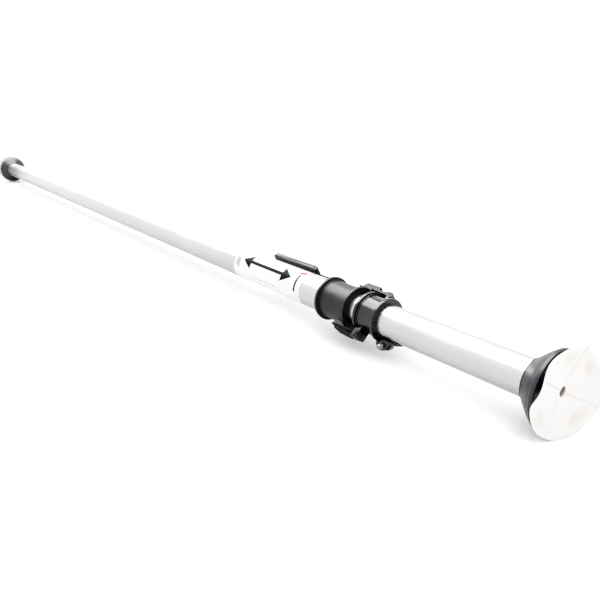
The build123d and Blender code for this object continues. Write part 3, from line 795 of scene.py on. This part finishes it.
class POLE_OT_feet(Operator):
    """Make both feet: a flared rubber cup, a waved white pad with four grooves, and a hub bush"""
    bl_idname = "pole.feet"
    bl_label = "Feet"

    def execute(self, context):
        look = context.scene.pole_feet
        for end, body, tube_reach in (("top", "inner_section", INNER_R), ("base", "base_section", OUTER_R)):
            cup = self.cup(look.rim_radius * 1000, tube_reach)
            pad, painted_dimple_shade = self.pad(look)
            bush = lathe(rounded([(0.9, 5.0), (0.9, 6.5), (8.0, 6.5), (8.0, 5.0)], 0.3), bearings_around(48))
            if end == "base":
                cup, pad, bush = at_base(cup), at_base(pad), at_base(bush)
            piece(end + "_cup_rubber", [cup], finish(cup_rubber), body, [end + "_cup"])
            made = piece(end + "_pad_rubber", [pad], finish(pad_rubber), body, [end + "_pad"])
            # the pad's painted dimple shade rides on its mesh as a point attribute
            made.data.attributes.new("painted_dimple_shade", "FLOAT", "POINT").data.foreach_set("value", painted_dimple_shade)
            piece(end + "_hub_insert", [bush], finish(dull_brass), body, [end + "_hub_bush"])
        return {"FINISHED"}

    def cup(self, rim, tube_reach):
        """A bell turned about the pole: lip, straight flare, shoulder, rim band, hollow and web."""
        lip = tube_reach + 2.0
        outline = rounded([
            (30.2, tube_reach), (30.2, lip), (28.9, lip), (26.4, 25.4), (22.0, 29.8), (15.5, 36.2),
            (8.8, rim), (6.0, rim - 0.6), (6.0, rim - 2.6), (12.8, 30.0), (12.8, 9.2), (16.0, 9.2),
            (16.0, tube_reach),
        ], np.array([0.2, 0.5, 0.6, 5, 8, 8, 0.7, 0.5, 0.6, 3, 0.3, 0.3, 0.2]), steps=5)

        def sag(station, reach, turn):
            """Above, the soft bell sits a little closer to the pole, more so towards its rim."""
            above = np.clip(np.cos(apart(turn, SAG_BEARING)), 0, 1) ** 1.5
            flare = np.clip((reach - lip) / (rim - lip), 0, 1)
            return station, reach - CUP_SAG * above * flare ** 0.5

        return lathe(outline, bearings_around(160), warp=sag)

    def pad(self, look):
        """A thin disc bent out of flat: a wave of the bearing times a power of how far out a point is.

        The wave is the PAD_EDGE table smoothed by a low-pass filter. Grooves are bell curves across
        four spokes, and dimples are oval bell curves between them. The second result is how deep in
        a dimple each vertex lies, from 0 to 1, which the pad's material turns into painted shade.
        """
        radius = look.pad_radius * 1000
        rim_thick = look.pad_thickness * 1000
        sample = np.arange(-180, 180, 2.0)
        spectrum = np.fft.rfft(np.interp(sample, PAD_EDGE[:, 0], PAD_EDGE[:, 1], period=360))
        highest_wave = 20.0
        spectrum *= np.exp(-(np.arange(len(spectrum)) / highest_wave) ** 4)
        spread = (-6, -4, -2.6, -1.6, -1.0, -0.5, 0, 0.5, 1.0, 1.6, 2.6, 4, 6)
        turn = bearings_around(144, GROOVE_BEARINGS, spread)[:, None]
        smoothed = np.fft.irfft(spectrum, len(sample))
        edge = look.wave * np.interp(turn, sample, smoothed, period=360) - rim_thick

        out = np.linspace(0, 1, 44)[None, :]
        mouth, hub = 5.6, 9.0
        reach = mouth + (radius - rim_thick / 2 - mouth) * out
        far = np.clip((reach - hub) / (radius - hub), 0, 1) ** 1.45
        groove = dimple = 0.0
        for bearing in GROOVE_BEARINGS:
            across, along = spoke(reach, turn, bearing)
            groove = groove + np.exp(-(across / 0.7) ** 2) * (along > 0)
        groove = groove * np.clip((reach - 6.5) / 4, 0, 1)
        for bearing, middle in DIMPLES:
            across, along = spoke(reach, turn, bearing)
            dimple = dimple + np.exp(-(across / 11.0) ** 2 - ((along - middle) / 5.0) ** 2)
        pillow = np.cos(2 * apart(turn, GROOVE_BEARINGS[0] + 45)) ** 2 * np.sin(np.pi * out) ** 0.8
        bend = edge * far
        groove_depth, dimple_depth, pillow_height, hub_extra = 0.9, 2.0, 1.2, 1.6
        front = bend + groove_depth * groove + dimple_depth * dimple - pillow_height * pillow
        thick = rim_thick + (1 - out) * hub_extra
        covered = 8                       # the back's innermost rings, which the hub takes the place of
        back = np.broadcast_to(bend + thick, front.shape)[:, ::-1][:, :-covered]
        angle = np.linspace(-np.pi / 2, np.pi / 2, 9)[None, 1:-1]
        round_off = rim_thick / 2
        rim_station = edge + round_off + round_off * np.sin(angle)
        rim_reach = radius - round_off + round_off * np.cos(angle)
        whole = np.ones_like(turn)
        hub_station = np.array([4.2, 12.9, 12.9, 1.0, 0.8, 0.25])[None, :] * whole
        hub_reach = np.array([hub, hub, 6.6, 6.6, 5.1, 5.1])[None, :] * whole
        station = np.concatenate([front, rim_station, back, hub_station], 1)
        under = reach[:, ::-1][:, :-covered]
        reach = np.concatenate([reach * whole, rim_reach * whole, under * whole, hub_reach], 1)
        low = reach * np.cos(np.radians(turn))
        reach = reach * np.minimum(1, FLOOR_CLEARANCE / np.maximum(-low, 1e-6))
        # painted shade: the front's dimple depth, which the pad's material uses to tint the recesses tan
        painted_dimple_shade = np.zeros_like(station)
        painted_dimple_shade[:, :front.shape[1]] = np.clip(dimple, 0, 1)
        return tube_of(place(station, 0.0, reach, turn), ring=True), painted_dimple_shade.ravel()


class POLE_OT_label(Operator):
    """Make the sticker on the outer tube and its print: an arrow, a rule, dashes and a red mark"""
    bl_idname = "pole.label"
    bl_label = "Sticker"

    def execute(self, context):
        corner = context.scene.pole_label.corner * 1000
        start, end = stations("tube_label")
        half_arc = np.radians(LABEL_HALF_TURN) * OUTER_R
        t = np.linspace(0, 1, 73)
        station = start + (end - start) * (0.5 - 0.5 * np.cos(np.pi * t))
        into = np.clip(corner - np.minimum(station - start, end - station), 0, corner)
        arc = half_arc - (corner - np.sqrt(np.clip(corner ** 2 - into ** 2, 0, None)))
        turn = np.linspace(-1, 1, 49)
        around = np.concatenate([turn, turn[::-1]])
        skin = OUTER_R + np.repeat([0.15, 0.02], len(turn))
        bearing = LABEL_BEARING + np.degrees(arc[:, None] / OUTER_R) * around[None, :]
        shell = tube_of(place(station[:, None], 0.0, skin[None, :], bearing))
        piece("sticker", [shell], finish(sticker_vinyl), "base_section", ["tube_label"])

        high = 6.0
        arrow = [self.bar(492.0, 399.0, high - 2.4, high + 2.4)]
        for tip, barbs in ((504.0, 484.0), (387.0, 407.0)):
            point = (tip, high - 0.3), (tip, high + 0.3)
            arrow.append(self.mark(*point, (barbs, high - 11), (barbs, high + 11)))
        arrow.append(self.bar(371.0, 374.0, -11, 14.4))
        piece("sticker_arrow", arrow, finish(black_ink), "base_section")
        dashes = [self.bar(start, start + 1.5, -9 + 2 * row, 15 - 3 * row)
                  for row, start in enumerate((512.5, 515.7, 518.9))]
        dashes += [self.bar(start, start + 7.0, -16.4, -15.6)
                   for start in (418.0, 429.0, 440.0, 451.0, 462.0)]
        piece("sticker_rules", dashes, finish(grey_ink), "base_section")
        spot = self.mark((376.0, 15.5), (377.0, 18.6), (366.0, 17.5), (366.0, 22.5))
        piece("sticker_spot", [spot], finish(red_ink), "base_section")
        return {"FINISHED"}

    def bar(self, start, end, low, high):
        """A printed oblong between two stations and two heights."""
        return self.mark((start, low), (start, high), (end, low), (end, high))

    def mark(self, first, second, third, fourth):
        """A thin printed patch between two edges of station and height, bent round the tube."""
        corners = np.array([[first, second], [third, fourth]], float)
        step = np.linspace(0, 1, 13)
        s, t = step[:, None, None], step[None, :, None]
        flat = ((1 - s) * (1 - t) * corners[0, 0] + (1 - s) * t * corners[0, 1]
                + s * (1 - t) * corners[1, 0] + s * t * corners[1, 1])
        loop = np.concatenate([flat, flat[:, ::-1]], 1)
        skin = OUTER_R + np.repeat([0.19, 0.12], len(step))
        bearing = LABEL_BEARING + np.degrees(loop[..., 1] / OUTER_R)
        return tube_of(place(loop[..., 0], 0.0, skin[None, :], bearing))


class POLE_OT_hardware(Operator):
    """Make the domed nut and the pinch screw, plate the end screws, and coat the pins and rivets black"""
    bl_idname = "pole.hardware"
    bl_label = "Nuts, screws and pins"

    def execute(self, context):
        zinc = finish(zinc_plate)
        turn = np.radians(LUG_BEARING)
        side = np.array([0.0, np.cos(turn), -np.sin(turn)])
        across = np.array([1.0, 0.0, 0.0])
        centre = place(PINCH_STATION, 0.0, PINCH_REACH, LUG_BEARING)
        dome = np.linspace(0, np.pi / 2, 8)[1:]
        nut = [(6.5, 4.2, 1), (6.8, 4.6, 1), (9.9, 4.6, 1), (10.3, 4.1, 0.8)]
        nut += [(10.3 + 3.4 * np.sin(a), max(3.6 * np.cos(a), 0.05), 0) for a in dome]
        shells = [turned_on(centre, across, side, nut, 48, corners=6)]
        piece("pinch_nut_dome", shells, zinc, "clamp_ring", ["pinch_nut"], sharp=28)
        screw = [(-6.5, 4.25, 0), (-11.1, 4.25, 0), (-11.5, 3.85, 0), (-11.5, 2.4, 0), (-11.45, 2.3, 1)]
        screw += [(-8.6, 2.2, 1), (-8.5, 0.05, 1)]
        shank = [(-6.6, 2.5, 0), (6.6, 2.5, 0)]
        shells = [turned_on(centre, across, side, screw, 48, corners=6)]
        shells.append(turned_on(centre, across, side, shank, 32))
        piece("pinch_screw_steel", shells, zinc, "clamp_ring", ["pinch_screw"], sharp=28)
        for node in ("top_screw", "base_screw"):
            dress(node, zinc)
        for node in ("link_pin", "tension_lever_pin", "clamp_lever_pin", "crank_pin", "grip_rivets"):
            dress(node, finish(powder_coat))
        return {"FINISHED"}


def dress(node, material):
    """Give a CAD node a finish in all of its material slots."""
    for slot in frame["nodes"][node].material_slots:
        slot.material = material


class POLE_OT_inner_parts(Operator):
    """Finish the parts that keep their CAD shape: link, brake shoe, bushes, plugs and guide ring"""
    bl_idname = "pole.inner_parts"
    bl_label = "Link, bushes and plugs"

    def execute(self, context):
        dress("thrust_link", finish(powder_coat))
        dress("collar_screws", finish(powder_coat))
        dress("brake_shoe", finish(cup_rubber))
        for node in ("mouth_bush", "clamp_liner", "guide_ring"):
            dress(node, finish(natural_nylon))
        for node in ("inner_end_plug", "top_plug", "base_plug"):
            dress(node, finish(moulded_black))
        return {"FINISHED"}


class POLE_OT_stage(Operator):
    """Lay the white floor, hang the soft lights, set the camera and deepen the blacks"""
    bl_idname = "pole.stage"
    bl_label = "Floor, lights and camera"

    def execute(self, context):
        look = context.scene.pole_stage
        self.floor(look)
        self.lights(context, look)
        self.camera(context, look)
        combined = 3
        view = context.scene.view_settings
        view.view_transform = "Standard"
        view.use_curve_mapping = True
        tone = view.curve_mapping.curves[combined]
        for exposure, shown in TONE_POINTS:
            tone.points.new(exposure, shown)
        view.curve_mapping.update()
        return {"FINISHED"}

    def floor(self, look):
        """A pale floor, far larger than the pole."""
        reach = 30.0
        mesh = bpy.data.meshes.new("floor")
        corners = [(-reach, -reach, 0), (reach, -reach, 0), (reach, reach, 0), (-reach, reach, 0)]
        mesh.from_pydata(corners, [], [(0, 1, 2, 3)])
        paint = Surface("floor_paint", look.floor_tone, 0.9, Specular_IOR_Level=0.0)
        mesh.materials.append(paint.material)
        floor = bpy.data.objects.new("floor", mesh)
        bpy.context.scene.collection.objects.link(floor)

    def lights(self, context, look):
        """A white room and one broad oblong light above the pole, split in two: for gloss and for matt."""
        long_side, short_side, place_over = 5.0, 1.7, (-1.0, 0.0, 1.5)
        world = bpy.data.worlds.new("white_room")
        world.use_nodes = True
        world.node_tree.nodes["Background"].inputs["Color"].default_value = (1, 1, 1, 1)
        world.node_tree.nodes["Background"].inputs["Strength"].default_value = look.sky
        context.scene.world = world
        for name, power in (("gleam", look.gleam), ("key", look.key)):
            data = bpy.data.lights.new(name, "AREA")
            data.shape = "RECTANGLE"
            data.size = long_side
            data.size_y = short_side
            data.energy = power
            lamp = bpy.data.objects.new(name, data)
            lamp.location = place_over
            lamp.visible_diffuse = name == "key"
            lamp.visible_glossy = name == "gleam"
            context.scene.collection.objects.link(lamp)

    def camera(self, context, look):
        """The camera stands in front of the top foot and looks down along the pole."""
        data = bpy.data.cameras.new("camera")
        data.lens = look.lens
        data.sensor_width = 36.0
        camera = bpy.data.objects.new("camera", data)
        ahead, aside, above, dip, turn = 0.2180, -0.4662, 0.2503, 19.61, 52.39
        camera.location = (HUB_X + ahead, aside, AXIS_Z + above)
        camera.rotation_euler = (np.radians(90 - dip), 0, np.radians(turn))
        context.scene.collection.objects.link(camera)
        context.scene.camera = camera


class POLE_PT_panel(Panel):
    """The pole's settings and the buttons that make its pieces."""
    bl_idname = "POLE_PT_panel"
    bl_label = "Tension Pole"
    bl_space_type = "VIEW_3D"
    bl_region_type = "UI"
    bl_category = "Tension Pole"

    def draw(self, context):
        for group in SETTINGS:
            settings = getattr(context.scene, group)
            box = self.layout.box()
            for name in settings.bl_rna.properties.keys():
                if name not in ("rna_type", "name"):
                    box.prop(settings, name)
        for operator in OPERATORS:
            self.layout.operator(operator.bl_idname)


SETTINGS = {
    "pole_tubes": PoleTubes,
    "pole_collars": PoleCollars,
    "pole_feet": PoleFeet,
    "pole_label": PoleLabel,
    "pole_stage": PoleStage,
}
OPERATORS = (
    POLE_OT_tubes,
    POLE_OT_fixed_collar,
    POLE_OT_clamp_collar,
    POLE_OT_tension_lever,
    POLE_OT_clamp_lever,
    POLE_OT_feet,
    POLE_OT_label,
    POLE_OT_hardware,
    POLE_OT_inner_parts,
    POLE_OT_stage,
)


def register():
    for group in SETTINGS.values():
        bpy.utils.register_class(group)
    for operator in OPERATORS:
        bpy.utils.register_class(operator)
    bpy.utils.register_class(POLE_PT_panel)
    for name, group in SETTINGS.items():
        setattr(bpy.types.Scene, name, PointerProperty(type=group))


def unregister():
    for name in SETTINGS:
        delattr(bpy.types.Scene, name)
    bpy.utils.unregister_class(POLE_PT_panel)
    for operator in reversed(OPERATORS):
        bpy.utils.unregister_class(operator)
    for group in SETTINGS.values():
        bpy.utils.unregister_class(group)


def main():
    """Make every piece in order."""
    register()
    bpy.ops.pole.tubes()
    bpy.ops.pole.fixed_collar()
    bpy.ops.pole.clamp_collar()
    bpy.ops.pole.tension_lever()
    bpy.ops.pole.clamp_lever()
    bpy.ops.pole.feet()
    bpy.ops.pole.label()
    bpy.ops.pole.hardware()
    bpy.ops.pole.inner_parts()
    bpy.ops.pole.stage()


if __name__ == "__main__":
    main()
